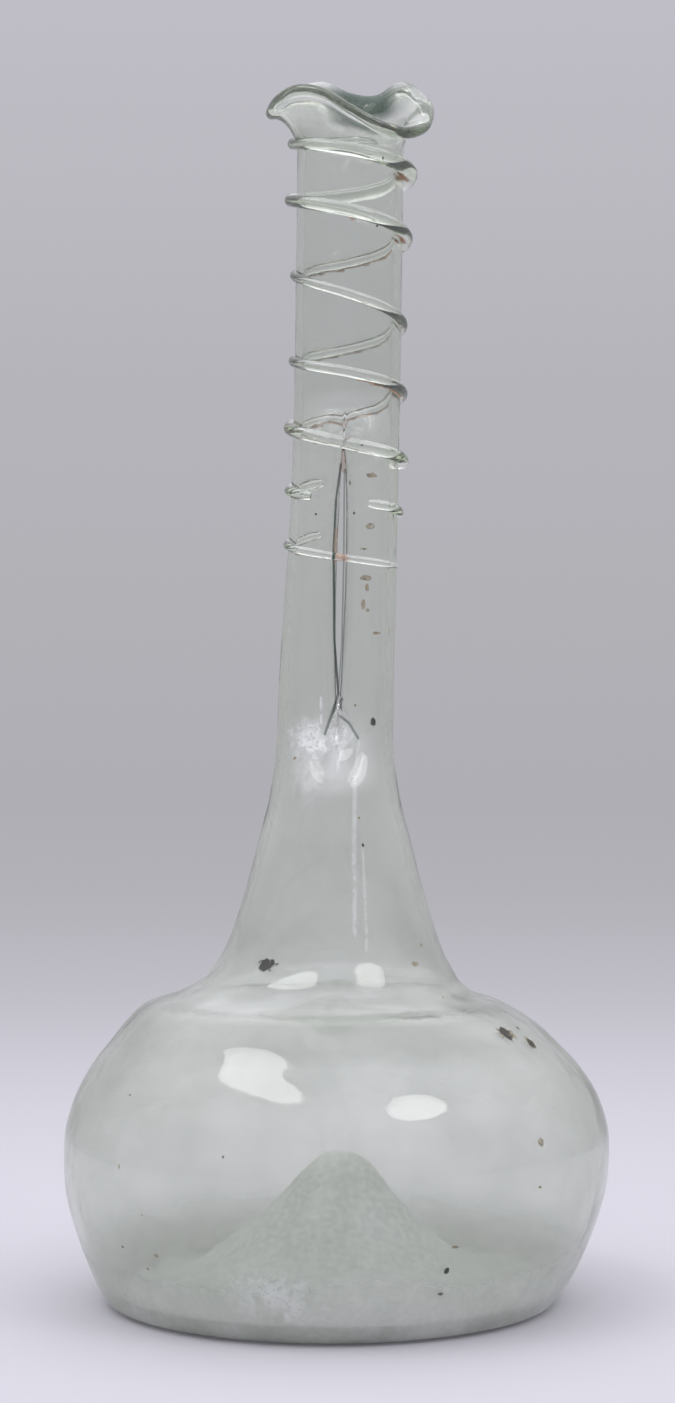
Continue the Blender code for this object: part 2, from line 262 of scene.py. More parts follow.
def inner_section(radius, wall, height, step):
    """Right half of an inner section, whose channel keeps half of the septum from the middle."""
    turn = turn_of(step)
    circle = Vector(((radius - wall) * math.cos(turn), (radius - wall) * math.sin(turn)))
    middle = radius - tube_radius(radius, height)
    bore = tube_radius(radius, height) - wall
    angle = 2 * turn
    inward = ((1 - math.cos(angle)) / 2) ** 3
    reach = lerp(bore, middle - septum(height) / 2, inward)
    channel = Vector((middle + reach * math.cos(angle), bore * math.sin(angle)))
    return circle.lerp(channel, pinch(height))


halfway = (PINCH_LOW + PINCH_HIGH) / 2
print("the septum is", round(septum(halfway) / MM, 1), "mm thick at its middle")

# %% [markdown]
# ## The wavy lip
#
# The end of the neck was opened out with a tool and pressed into lobes while soft. Its section runs
# up the neck, bends outwards and ends in a rounded bead. One Bezier curve makes that bend for every
# direction, from the neck's edge to the height and radius that the lip has there.

# %% The flared wall
def flare_point(turn, along, around):
    """Point of the flare. Along goes from 0 at the neck to 1 at the middle of the lip's bead, and
    around from 0 on the outside, over the bead, to pi on the inside."""
    place = turn / (2 * math.pi) % 1.0 * len(LIP_WAVE)
    near = [LIP_WAVE[(int(place) + k) % len(LIP_WAVE)] for k in (-1, 0, 1, 2)]
    rise, spread = spline(near, (1 + place % 1.0) / 3)
    folded = ((1 + math.cos(turn - LIP_FOLD_TURN)) / 2) ** 2
    thickness = lerp(LIP_THICKNESS, LIP_FOLD_THICKNESS, folded)
    sunk = (thickness - LIP_THICKNESS) / 2
    lip = Vector((LIP_RADIUS * spread, NECK_TOP + LIP_RISE * rise - sunk))
    root = Vector((NECK_RADIUS - NECK_WALL / 2, NECK_TOP))
    steep = root + Vector((0.0, 0.5 * (lip.y - root.y)))
    flat = lip - Vector((0.5 * (lip.x - root.x), -0.05 * (lip.y - root.y)))
    back = 1 - along
    middle = (root * back ** 3 + steep * (3 * back ** 2 * along) + flat * (3 * back * along ** 2)
              + lip * along ** 3)
    slope = ((steep - root) * back ** 2 + (flat - steep) * (2 * back * along)
             + (lip - flat) * along ** 2).normalized()
    outward = Vector((slope.y, -slope.x))
    half_wall = lerp(NECK_WALL, thickness, along ** 2) / 2
    return middle + (outward * math.cos(around) + slope * math.sin(around)) * half_wall


crest = flare_point(math.radians(90), 1.0, math.pi / 2)
print("top of the lip at the back, mm:", round(crest.y / MM, 1))

# %% [markdown]
# ## The wall as one strip
#
# A vessel is one continuous wall. It can be followed from the tip of the punt's underside, over the
# ring that it stands on, up the outside, over the lip, down the inside, and back to the punt. Each row
# below is a function that gives its points in turn, and says whether it belongs to the outside.

# %% Rows of the wall
def body_line():
    """Outer (radius, height) line from the heel to the foot of the neck."""
    heel = Vector((HEEL_RADIUS, HEEL_HEIGHT))
    widest = Vector((BODY_RADIUS, WIDEST_HEIGHT))
    shoulder = Vector((SHOULDER_RADIUS, SHOULDER_HEIGHT))
    foot = Vector((FOOT_RADIUS, FOOT_HEIGHT))
    line = [heel]
    for start, end, shape in ((heel, widest, SWELL), (widest, shoulder, DOME), (shoulder, foot, CONE)):
        line += [Vector((lerp(start.x, end.x, r), lerp(start.y, end.y, h))) for h, r in shape]
        line.append(end)
    return line


def punt_line():
    """Upper (radius, height) line of the pushed-in cone, from its tip to the ring."""
    rise = PUNT_HEIGHT - PUNT_THICKNESS
    return [Vector((RING_INNER_RADIUS * r, PUNT_THICKNESS + rise * h)) for r, h in PUNT]


def base_row(radius, height):
    shift = lerp(PUNT_SHIFT, lean(0.0), min(radius / RING_INNER_RADIUS, 1.0))
    return lambda step, side: Vector((side * radius * math.cos(turn_of(step)) + shift,
                                      radius * math.sin(turn_of(step)), height))


def section_row(section, radius, height):
    axis = lean(height)

    def point(step, side):
        flat = section(step)
        return Vector((side * flat.x + axis + seam_shift(height, flat.x / radius), flat.y, height))
    return point


def outside_row(radius, height):
    return section_row(lambda step: outer_section(radius, height, step), radius, height)


def inside_row(radius, height, wall):
    return section_row(lambda step: inner_section(radius, wall, height, step), radius, height)


def flared_row(along, around):
    def point(step, side):
        turn = turn_of(step) if side > 0 else math.pi - turn_of(step)
        flat = flare_point(turn, along, around)
        return Vector((flat.x * math.cos(turn) + lean(flat.y), flat.x * math.sin(turn), flat.y))
    return point


def steps_between(low, high, spacing):
    """Heights strictly after low, up to high, no further apart than the spacing."""
    count = max(1, math.ceil(abs(high - low) / spacing))
    return [lerp(low, high, (k + 1) / count) for k in range(count)]


print(len(body_line()), "places on the body's outline")

# %% Outside, from under the punt to the lip
ROW = 1.3 * MM
PUNT_ROWS = 46
HEEL_ROWS = 7
BODY_ROWS = 128
FLARE_ROWS = 14
BEAD_ROWS = 12

punt = follow(punt_line(), PUNT_ROWS)
under = offset(punt, [-PUNT_THICKNESS] * len(punt))
outer = follow(body_line(), BODY_ROWS)
walls = [lerp(BODY_WALL, NECK_WALL, smooth((p.y - SHOULDER_HEIGHT) / (FOOT_HEIGHT - SHOULDER_HEIGHT)))
         for p in outer]

outside_rows = [base_row(0.0, PUNT_HEIGHT - PUNT_THICKNESS)]
outside_rows += [base_row(p.x, p.y) for p in under[1:-1]]
outside_rows += [base_row(RING_INNER_RADIUS, 0.0), base_row(RING_OUTER_RADIUS, 0.0)]
heel = [Vector((RING_OUTER_RADIUS, 0.0)),
        Vector((lerp(RING_OUTER_RADIUS, HEEL_RADIUS, 0.6), HEEL_HEIGHT * 0.26)),
        Vector((HEEL_RADIUS, HEEL_HEIGHT))]
outside_rows += [base_row(p.x, p.y) for p in follow(heel, HEEL_ROWS)[1:-1]]
outside_rows += [outside_row(p.x, p.y) for p in outer]
outside_rows += [outside_row(neck_radius(h), h) for h in steps_between(FOOT_HEIGHT, NECK_TOP, ROW)[:-1]]
outside_rows += [flared_row(k / FLARE_ROWS, 0.0) for k in range(FLARE_ROWS + 1)]
outside_rows += [flared_row(1.0, math.pi * k / BEAD_ROWS) for k in range(1, BEAD_ROWS)]
print(len(outside_rows), "rows outside")

# %% Inside, from the lip down to the punt
inside_rows = [flared_row(k / FLARE_ROWS, math.pi) for k in range(FLARE_ROWS, -1, -1)]
inside_rows += [inside_row(neck_radius(h), h, NECK_WALL) for h in steps_between(NECK_TOP, PINCH_HIGH, ROW)]
# The rows are closer together where the septum thins to its two ends.
for low, high, spacing in ((PINCH_HIGH, PINCH_HIGH - CHANNEL_TAPER, ROW / 4),
                           (PINCH_HIGH - CHANNEL_TAPER, PINCH_LOW + CHANNEL_TAPER, ROW),
                           (PINCH_LOW + CHANNEL_TAPER, PINCH_LOW, ROW / 4),
                           (PINCH_LOW, FOOT_HEIGHT, ROW)):
    inside_rows += [inside_row(neck_radius(h), h, NECK_WALL) for h in steps_between(low, high, spacing)]
inside_rows += [inside_row(p.x + wall, p.y, wall)
                for p, wall in reversed(list(zip(offset(outer, walls), walls))[:-1])]
inside_rows += [base_row(RING_OUTER_RADIUS, PUNT_THICKNESS + BODY_WALL / 3)]
inside_rows += [base_row(p.x, p.y) for p in reversed(punt)]
print(len(inside_rows), "rows inside")

# %% [markdown]
# ## Wrapping the wall
#
# A grid is wrapped round the right half of the vessel and another round the left half, row by row, and
# the two are welded along the front and the back. The same grid operator could make the whole turn at
# once, but in the divided neck each tube then has its own even ring of faces, which is what the pinch
# needs. Hand-blown glass is never even, so the finished wall is also pushed in and out a little by
# slow noise, more from side to side than up and down, as the blower's turning leaves it.

# %% Ridges below the septum
# Where the glass between the tubes ends, it splays into two low ridges on the front of the inner wall.
# Each goes from one (across, height) to another.
CROTCH_RIDGE = 0.8 * MM
CROTCH_ARM_WIDTH = 1.1 * MM
CROTCH_ARMS = (((0.9 * MM, 150 * MM), (-2.9 * MM, 141 * MM)), ((0.9 * MM, 147 * MM), (5.3 * MM, 140 * MM)))


def ridge_share(point, start, end):
    """Height of a ridge between two (across, height) places at a point, as a share of its crest."""
    first = Vector(start)
    along = Vector(end) - first
    place = Vector((point.x, point.z)) - first
    travelled = min(max(place.dot(along) / along.length_squared, 0.0), 1.0)
    return smooth(1 - (place - along * travelled).length / CROTCH_ARM_WIDTH) * (1 - 0.5 * travelled)


print(len(CROTCH_ARMS), "ridges,", round(CROTCH_RIDGE / MM, 1), "mm high")

# %% Build the vessel
# Unevenness of the blown wall, in mm, and the size of its slow waves.
SLOW_WAVE = 0.07
DRAWN_WAVE = 0.025
SLOW_SIZE = 26 * MM
DRAWN_SIZES = (7 * MM, 7 * MM, 60 * MM)
SLOW_START = Vector((3.1, 0.7, 5.3))


def build_vessel():
    rows = outside_rows + inside_rows
    shape = bmesh.new()
    weathered = shape.verts.layers.float.new("weathered")
    for side in (1, -1):
        grid = bmesh.ops.create_grid(shape, x_segments=HALF_STEPS, y_segments=len(rows) - 1, size=1.0)
        for vert in grid["verts"]:
            step = round((vert.co.x + 1) / 2 * HALF_STEPS)
            row = round((vert.co.y + 1) / 2 * (len(rows) - 1))
            vert.co = rows[row](step, side)
            vert[weathered] = float(row < len(outside_rows))
    bmesh.ops.remove_doubles(shape, verts=shape.verts, dist=0.005 * MM)
    bmesh.ops.recalc_face_normals(shape, faces=shape.faces)
    for vert in shape.verts:
        steady = smooth((vert.co.z - 4 * MM) / (20 * MM))
        slow = noise.noise(vert.co / SLOW_SIZE + SLOW_START)
        drawn = noise.noise(Vector([value / size for value, size in zip(vert.co, DRAWN_SIZES)]))
        vert.co += vert.normal * steady * (SLOW_WAVE * slow + DRAWN_WAVE * drawn) * MM
        if vert[weathered] < 0.5 and vert.co.y < 0.0:
            vert.co += vert.normal * CROTCH_RIDGE * max(ridge_share(vert.co, *arm) for arm in CROTCH_ARMS)
    mesh = bpy.data.meshes.new("blown_bottle")
    shape.to_mesh(mesh)
    shape.free()
    vessel = bpy.data.objects.new("blown_bottle", mesh)
    bpy.context.scene.collection.objects.link(vessel)
    return vessel


bottle = build_vessel()
print("the wall has", len(bottle.data.vertices), "points")

# %% [markdown]
# ## The wound thread
#
# A thread of soft glass was laid on just under the lip while the bottle turned, and it sank a little
# into the neck. A curve with a round bevel is the natural tool: each point has its own radius, so the
# thread thins as it was drawn out. Its height, thickness and depth are given for each half turn. Lengths
# of it have broken away, so it is made as four separate runs.

# %% Path of the thread
# Shares of the height of the neck's top and of the thickness, and how far the thread stands proud.
TRAIL_THICKNESS = 3.0 * MM
TRAIL = ((1.0280, 0.867, 0.8), (1.0091, 1, 0.86), (0.9818, 1.3, 0.9), (0.9601, 1.17, 0.9),
         (0.9259, 1.03, 0.82), (0.8944, 0.8, 0.64), (0.8507, 0.867, 0.6), (0.8199, 0.867, 0.6),
         (0.7913, 1, 0.6), (0.7615, 1.1, 0.72), (0.7318, 1.07, 0.78), (0.7063, 0.967, 0.62),
         (0.6871, 0.8, 0.62), (0.6591, 0.733, 0.55), (0.6392, 0.533, 0.45))
TRAIL_RUNS = ((0.3, 10.08), (10.64, 11.29), (11.65, 12.05), (12.64, 13.95))


def trail_point(place):
    """Centre of the thread, its radius, and the way out of the neck, after so many half turns."""
    level, weight, proud = spline(TRAIL, place / (len(TRAIL) - 1))
    height, thickness = NECK_TOP * level, TRAIL_THICKNESS * weight
    turn = math.pi * place
    radius = neck_radius(height)
    middle = (radius - tube_radius(radius, height)) * pinch(height)
    across = radius * math.cos(turn)
    beyond = math.copysign(max(abs(across) - middle, 0.0), across)
    depth = math.copysign(math.sqrt(max((radius - middle) ** 2 - beyond ** 2, 0.0)), math.sin(turn))
    outward = Vector((beyond, depth, 0.0)).normalized()
    centre = Vector((across + lean(height), depth, height)) + outward * (thickness * (proud - 0.5))
    uneven = 1 + 0.06 * noise.noise(Vector((place * 2.3, 4.7, 0.0)))
    return centre, thickness / 2 * uneven, outward


print("the thread starts at a height of", round(trail_point(TRAIL_RUNS[0][0])[0].z / MM, 1), "mm")

# %% Sweep the thread
TRAIL_STEPS = 36


def build_run(number, start, end):
    steps = max(6, round((end - start) * TRAIL_STEPS))
    curve = bpy.data.curves.new(f"thread_{number}", "CURVE")
    curve.dimensions = "3D"
    curve.bevel_depth = 1.0
    curve.bevel_resolution = 4
    curve.use_fill_caps = True
    line = curve.splines.new("POLY")
    line.points.add(steps)
    for k, point in enumerate(line.points):
        centre, radius = trail_point(lerp(start, end, k / steps))[:2]
        from_end = min(k, steps - k) / 2.0
        point.co = (*centre, 1.0)
        # The broken ends are a little rounded.
        point.radius = radius * min(1.0, 0.72 + 0.28 * from_end)
    swept = bpy.data.objects.new(curve.name, curve)
    bpy.context.scene.collection.objects.link(swept)
    bpy.context.view_layer.update()
    mesh = bpy.data.meshes.new_from_object(swept.evaluated_get(bpy.context.evaluated_depsgraph_get()))
    closed = bmesh.new()
    closed.from_mesh(mesh)
    bmesh.ops.remove_doubles(closed, verts=closed.verts, dist=0.01 * MM)
    bmesh.ops.recalc_face_normals(closed, faces=closed.faces)
    closed.to_mesh(mesh)
    closed.free()
    rod = bpy.data.objects.new(curve.name, mesh)
    bpy.context.scene.collection.objects.link(rod)
    bpy.data.objects.remove(swept)
    return rod


rods = [build_run(number, *run) for number, run in enumerate(TRAIL_RUNS)]
print(len(rods), "runs of thread")


# %% Fuse the thread to the wall
SHARP_ANGLE = math.radians(48)


def fuse(target, rods):
    """Joins the rods to the target in one closed skin, and removes them."""
    for rod in rods:
        union = target.modifiers.new(rod.name, "BOOLEAN")
        union.operation = "UNION"
        union.solver = "EXACT"
        union.object = rod
    evaluated = target.evaluated_get(bpy.context.evaluated_depsgraph_get())
    fused = bpy.data.meshes.new_from_object(evaluated)
    target.modifiers.clear()
    target.data = fused
    for rod in rods:
        bpy.data.objects.remove(rod)
    shape = bmesh.new()
    shape.from_mesh(fused)
    bmesh.ops.remove_doubles(shape, verts=shape.verts, dist=0.002 * MM)
    bmesh.ops.triangulate(shape, faces=[f for f in shape.faces if len(f.verts) > 4])
    open_edges = sum(1 for edge in shape.edges if len(edge.link_faces) != 2)
    shape.to_mesh(fused)
    shape.free()
    fused.shade_smooth()
    fused.set_sharp_from_angle(angle=SHARP_ANGLE)
    return open_edges


# The outer and inner side of the wall are noted first, because the union renumbers the points.
wall_sides = KDTree(len(bottle.data.vertices))
flags = [value.value for value in bottle.data.attributes["weathered"].data]
for k, vert in enumerate(bottle.data.vertices):
    wall_sides.insert(vert.co, k)
wall_sides.balance()
open_edges = fuse(bottle, rods)
bottle.data.name = "blown_bottle"
points = [vert.co.copy() for vert in bottle.data.vertices]
print("fused:", len(bottle.data.polygons), "faces,", open_edges, "open edges")


# %% Tell the outer side from the inner one
def keep_on_points(name, values):
    """Stores one number for each point of the bottle, for the shader to read."""
    old = bottle.data.attributes.get(name)
    if old is not None:
        bottle.data.attributes.remove(old)
    bottle.data.attributes.new(name, "FLOAT", "POINT").data.foreach_set("value", values)


weathered = [flags[wall_sides.find(point)[1]] for point in points]
keep_on_points("weathered", weathered)
print(round(sum(weathered)), "points of", len(points), "are on the outer side")

# %% [markdown]
# ## The camera
#
# The camera stands level with the middle of the bottle, close enough that the rim is seen from below
# and the base from above. It is placed before the finish, because the flecks on the glass are placed
# along its lines of sight.

# %% Camera
IMAGE_WIDTH, IMAGE_HEIGHT = 675, 1403
FOCAL_PIXELS = 3080
EYE = Vector((0.2 * MM, -770 * MM, 155 * MM))
TILT = math.radians(-0.4186)

camera_data = bpy.data.cameras.new("camera")
camera_data.sensor_width = 36.0
camera_data.lens = FOCAL_PIXELS / IMAGE_HEIGHT * camera_data.sensor_width
camera = bpy.data.objects.new("camera", camera_data)
bpy.context.scene.collection.objects.link(camera)
camera.location = EYE
camera.rotation_euler = (math.radians(90) + TILT, 0.0, 0.0)
bpy.context.scene.camera = camera


def sight(across, down):
    """Direction from the camera through a point of the image, given in its pixels."""
    ray = Vector((across - IMAGE_WIDTH / 2, IMAGE_HEIGHT / 2 - down, -FOCAL_PIXELS))
    ray.rotate(Euler(camera.rotation_euler))
    return ray.normalized()


print("lens, mm:", round(camera_data.lens, 2))

# %% [markdown]
# ## Writing shaders as sums
#
# A shader is arithmetic on masks. A small class wraps a socket so that an expression such as
# a * (1 - b) adds the Math nodes for it, which keeps each finish readable as a recipe.

# %% A socket that can be reckoned with
class Wire:
    """An output socket. Arithmetic on it adds Math nodes."""

    def __init__(self, recipe, socket):
        self.recipe = recipe
        self.socket = socket

    def maths(self, operation, first, second):
        return self.recipe.node("ShaderNodeMath", {"operation": operation}, {0: first, 1: second})

    def __add__(self, other):
        return self.maths("ADD", self, other)

    def __sub__(self, other):
        return self.maths("SUBTRACT", self, other)

    def __rsub__(self, other):
        return self.maths("SUBTRACT", other, self)

    def __mul__(self, other):
        return self.maths("MULTIPLY", self, other)

    def larger(self, other):
        return self.maths("MAXIMUM", self, other)

    def smaller(self, other):
        return self.maths("MINIMUM", self, other)

    def between(self, low, high):
        """0 below low, 1 above high, and smooth between; the other way round where low is above high."""
        flip = low > high
        limits = (high, low, 1.0, 0.0) if flip else (low, high, 0.0, 1.0)
        names = ("From Min", "From Max", "To Min", "To Max")
        return self.recipe.node("ShaderNodeMapRange", {"interpolation_type": "SMOOTHSTEP"},
                                {"Value": self, **dict(zip(names, limits))})

    __radd__ = __add__
    __rmul__ = __mul__


print("sums, differences and products of wires add Math nodes")


# %% A tree of nodes
class Recipe:
    """A node tree that is written from the surface's own measures."""

    def __init__(self, tree):
        self.tree = tree
        tree.nodes.clear()

    def node(self, kind, settings, sockets, output=0):
        """Adds a node, sets what it is, then fills its sockets with values or links."""
        added = self.tree.nodes.new(kind)
        for name, value in settings.items():
            if name == "stops":
                ramp = added.color_ramp
                while len(ramp.elements) < len(value):
                    ramp.elements.new(1.0)
                for element, (place, colour) in zip(ramp.elements, value):
                    element.position = place
                    element.color = (*colour, 1.0)
            else:
                setattr(added, name, value)
        for name, value in sockets.items():
            if isinstance(value, Wire):
                self.tree.links.new(value.socket, added.inputs[name])
            else:
                added.inputs[name].default_value = value
        return Wire(self, added.outputs[output]) if added.outputs else None

    def grain(self, place, size, detail):
        """Noise from 0 to 1, with features of about the given size in metres."""
        return self.node("ShaderNodeTexNoise", {}, {"Vector": place, "Scale": 1.0 / size, "Detail": detail})

    def scaled(self, place, factors):
        return self.node("ShaderNodeVectorMath", {"operation": "MULTIPLY"}, {0: place, 1: factors})

    def ramp(self, value, stops):
        return self.node("ShaderNodeValToRGB", {"stops": stops}, {"Fac": value})

    def mix_shader(self, share, first, second):
        return self.node("ShaderNodeMixShader", {}, {0: share, 1: first, 2: second})


def paint(red, green, blue):
    """Linear colour of an 8-bit sRGB one."""
    def linear(value):
        value = value / 255
        return value / 12.92 if value <= 0.04045 else ((value + 0.055) / 1.055) ** 2.4
    return linear(red), linear(green), linear(blue)


print("mid grey is", round(paint(128, 128, 128)[0], 3))

# %% [markdown]
# ## What age has left on the glass
#
# Orange earth clings in a thin line in the corner under the thread, most of all where it turns at the
# right side and along the back. It could be painted on an image, but a number on each point of the mesh
# is simpler: it is large close to the lower edge of the thread, for the lengths where there is a deposit,
# and the shader breaks it up with grain.

# %% Deposits beside the thread
# First and last half turn, and how strong.
DEPOSITS = ((1.57, 1.64, 0.6), (1.83, 2.0, 1.0), (3.45, 3.56, 0.7), (3.83, 4.0, 0.9), (4.08, 4.92, 0.95),
            (5.0, 5.1, 0.5), (5.83, 6.0, 0.7), (6.08, 6.9, 0.85), (7.55, 7.97, 0.9), (8.05, 8.95, 0.95),
            (8.95, 9.35, 0.7), (11.1, 11.29, 0.5), (11.75, 12.05, 0.4), (12.62, 12.95, 0.5),
            (13.08, 13.25, 0.9), (13.38, 13.5, 0.6))

line_places = numpy.arange(0.0, len(TRAIL) - 1.0, 0.01)
line_points = [trail_point(place) for place in line_places]
line_tree = KDTree(len(line_points))
for k, line_point in enumerate(line_points):
    line_tree.insert(line_point[0], k)
line_tree.balance()
print("the path of the thread is noted at", len(line_points), "places")


# %% Mark the points
def on_a_run(place):
    return any(first - 0.02 <= place <= last + 0.02 for first, last in TRAIL_RUNS)


def deposit_at(point):
    """Strength of the deposit at a point of the surface, and whether the point is on the thread."""
    centre, k, distance = line_tree.find(point)
    place, radius, outward = line_places[k], line_points[k][1], line_points[k][2]
    if distance > 2.2 * radius:
        return 0.0, 0.0
    below = (centre.z - point.z) / radius
    outside_of = (point - centre).dot(outward) / radius
    corner = smooth(1.7 - abs(below - 0.8) * 3.2) * smooth(1.1 - 3.0 * outside_of)
    strength = 0.0
    for first, last, strong in DEPOSITS:
        ends = smooth((place - first) / 0.06 + 0.5) * smooth((last - place) / 0.06 + 0.5)
        strength = max(strength, strong * ends * corner)
    on_thread = smooth(2.6 - 2 * distance / radius) if on_a_run(place) else 0.0
    return strength, on_thread


found = [deposit_at(point) for point in points]
keep_on_points("rust", [pair[0] for pair in found])
keep_on_points("thread", [pair[1] for pair in found])
print(sum(pair[0] > 0.3 for pair in found), "points carry deposit")

# %% [markdown]
# ## Flecks
#
# Small flecks of earth and dark iridescence sit on the body and the neck. Each is found by looking from
# the camera through its place in the image and noting where that line of sight meets the glass. The
# shader then darkens a small, ragged ball round the point, so a fleck has a true place in space.

# %% Look from the camera to the glass
surface_tree = BVHTree.FromObject(bottle, bpy.context.evaluated_depsgraph_get())


def on_glass(across, down):
    """Point of the outer surface that is seen at a place in the image."""
    return surface_tree.ray_cast(EYE, sight(across, down))[0]


neck_front = on_glass(IMAGE_WIDTH / 2, IMAGE_HEIGHT / 2)
print("the glass at the middle of the image, mm:", [round(v / MM, 1) for v in neck_front])

# %% Flecks, stains, frost and a painted patch of light
# Across and down in the image, radius in mm, and stretch across and down.
DARK_FLECKS = ((266, 965, 2.6, 1.3, 0.8), (272, 962, 1.3, 0.9, 1.2), (373, 722, 1.3, 1.0, 1.2),
               (504, 1031, 2.0, 1.35, 0.85), (509, 1037, 1.6, 1.4, 0.8), (518, 1028, 0.9, 0.8, 1.2),
               (531, 1043, 1.8, 1.1, 1.0), (447, 1271, 1.0, 0.9, 1.2), (441, 1294, 0.9, 1.3, 0.8),
               (383, 158, 0.5, 0.6, 1.8), (377, 226, 0.4, 1.0, 1.0), (362, 445, 0.4, 1.4, 0.8),
               (316, 514, 0.5, 1.0, 1.0), (354, 513, 0.5, 1.0, 1.0), (363, 845, 0.5, 0.8, 1.4),
               (223, 1157, 0.6, 0.7, 1.3), (130, 1095, 0.4, 1.0, 1.0), (395, 552, 0.5, 0.7, 1.8))
BROWN_FLECKS = ((372, 475, 1.3, 1.5, 0.8), (370, 526, 1.2, 1.2, 0.9), (364, 549, 0.9, 1.5, 0.7),
                (366, 578, 1.3, 1.5, 0.8), (367, 587, 1.0, 0.7, 1.3), (363, 604, 1.1, 0.8, 1.6),
                (368, 610, 0.7, 1.0, 0.8), (377, 633, 0.9, 1.4, 0.7), (389, 631, 0.6, 0.6, 1.9),
                (350, 483, 0.8, 0.9, 1.0), (295, 758, 0.6, 1.0, 1.0), (355, 705, 0.5, 1.0, 1.0),
                (359, 818, 0.5, 1.0, 1.0), (415, 964, 1.2, 1.2, 0.8), (421, 945, 0.7, 0.8, 1.3),
                (507, 1034, 3.3, 1.3, 0.85), (531, 1043, 2.5, 1.1, 1.0), (443, 997, 0.6, 1.2, 0.8),
                (541, 1142, 1.6, 0.8, 1.2), (540, 1187, 0.8, 1.3, 0.7), (119, 1167, 0.6, 0.8, 1.4),
                (123, 1247, 0.7, 1.2, 0.8), (156, 1256, 0.8, 1.2, 0.8), (148, 1269, 0.6, 1.0, 1.0),
                (142, 1215, 0.5, 1.0, 1.0), (455, 1247, 0.9, 1.6, 0.5))
PINK_STAINS = ((343, 458, 1.9, 0.65, 2.6), (336, 545, 2.4, 0.75, 2.6), (341, 560, 2.3, 1.1, 1.2))
# The same, and how dense. The last one, low on the body's front, is a painted patch of light and not frost.
FROSTS_AND_LIGHT_PATCH = ((315, 738, 7.5, 1.1, 0.8, 0.6), (333, 737, 6.0, 1.0, 0.75, 0.6), (312, 772, 7.5, 0.8, 1.9, 0.2),
          (276, 1300, 10.0, 1.2, 0.8, 0.4))
print(len(DARK_FLECKS), "dark and", len(BROWN_FLECKS), "brown flecks,", len(FROSTS_AND_LIGHT_PATCH), "patches of frost")

# %% Painted shade along the seam, pale streaks and painted highlights
# Painted shade: dark lines where the thick glass of the seam looks dark, on its two sides and where it
# splays at its foot. Each is a line from one (across, down) to another, with half its width in mm and how
# dark it is.
SEAM_SHADE_LINES = ((341, 464, 336, 500, 0.26, 0.75), (336, 500, 333.6, 550, 0.28, 0.8),
              (333.6, 550, 334.4, 640, 0.28, 0.85), (334.4, 640, 338.4, 694, 0.26, 0.85),
              (338.4, 694, 325, 734, 0.32, 0.6), (340, 716, 349, 723, 0.3, 0.55),
              (349, 723, 358, 738, 0.3, 0.6), (344.5, 470, 343.8, 560, 0.22, 0.45),
              (343.8, 560, 342, 640, 0.22, 0.45), (342, 640, 338.4, 694, 0.2, 0.4))
# Pale streaks down the cone, given in the same way. The last two, short ones at the foot of the seam, are
# painted highlights.
PALE_STREAKS_AND_HIGHLIGHTS = ((359, 742, 355, 775, 0.4, 0.2), (355, 775, 354, 850, 0.5, 0.25),
                (354, 850, 355, 935, 0.5, 0.25), (363, 850, 367, 950, 0.3, 0.2),
                (321, 698, 321, 724, 0.3, 0.5), (322, 742, 338, 729, 0.4, 0.5))
print(len(SEAM_SHADE_LINES), "dark edges and", len(PALE_STREAKS_AND_HIGHLIGHTS), "pale streaks")


# %% Place the marks on the glass
def placed(marks):
    """Each mark as its point on the glass, its radius in metres and what else is said of it."""
    out = []
    for across, down, radius, *shape in marks:
        where = on_glass(across, down)
        if where is not None:
            out.append((where, radius * MM, *shape))
    return out


def placed_edges(edges):
    """Each edge as the (across, height) places of its ends, half its width and how dark it is."""
    out = []
    for *ends, half_width, strength in edges:
        first, last = on_glass(*ends[:2]), on_glass(*ends[2:])
        out.append(((first.x, first.z), (last.x, last.z), half_width * MM, strength))
    return out


seam_shade_lines, pale_streaks_and_highlights = placed_edges(SEAM_SHADE_LINES), placed_edges(PALE_STREAKS_AND_HIGHLIGHTS)
dark_flecks, brown_flecks = placed(DARK_FLECKS), placed(BROWN_FLECKS)
pink_stains, frosts_and_light_patch = placed(PINK_STAINS), placed(FROSTS_AND_LIGHT_PATCH)
print(len(dark_flecks) + len(brown_flecks) + len(pink_stains) + len(frosts_and_light_patch), "marks meet the glass")

# %% [markdown]
# ## The glass
#
# Clear glass bends light and has a faint green body, which is why it is darker where a line of sight
# runs along the wall. Over it lie matt surfaces, mixed in one after another: a thin, milky film that is
# heavier on the thread, the lip and the pushed-in base, where the film and a pale crust are also painted
# light for the light that comes through the base; white frost where the neck divides; dull earth; dark
# green painted shade along the seam, painted highlights below it and a painted patch of light low on the
# body; and a faint darker green on the back of the lip, the upper neck and the shoulder. One closed wall
# can carry only one body colour, so all of this is one material, and only the factors of the mixes vary
# over the surface. A renderer skips what is mixed in with a factor of 0, but only where no other branch
# needs it. So the glass without its marks is made anew for the inside, the back and the front, and the
# many flecks are reckoned for the front alone.

# %% Helpers for marks and matt surfaces
def matt(recipe, colour, roughness, bump):
    return recipe.node("ShaderNodeBsdfPrincipled", {}, {
        "Base Color": colour, "Roughness": roughness, "Specular IOR Level": 0.3, "Normal": bump})


def distance_to(recipe, place, mark):
    """Distance to a mark's middle, where 1 is its edge."""
    centre, radius, wide, tall = mark[:4]
    factors = Vector((1 / (radius * wide), 1 / (radius * wide), 1 / (radius * tall)))
    scaled = recipe.node("ShaderNodeVectorMath", {"operation": "MULTIPLY_ADD"},
                         {0: place, 1: factors, 2: -centre * factors})
    return recipe.node("ShaderNodeVectorMath", {"operation": "LENGTH"}, {0: scaled}, 1)


def flecks_mask(recipe, place, flecks, ragged):
    """1 in each fleck and 0 outside, with an edge made ragged by noise."""
    nearest = None
    for fleck in flecks:
        far = distance_to(recipe, place, fleck)
        nearest = far if nearest is None else nearest.smaller(far)
    return (nearest + ragged).between(1.5, 1.25)


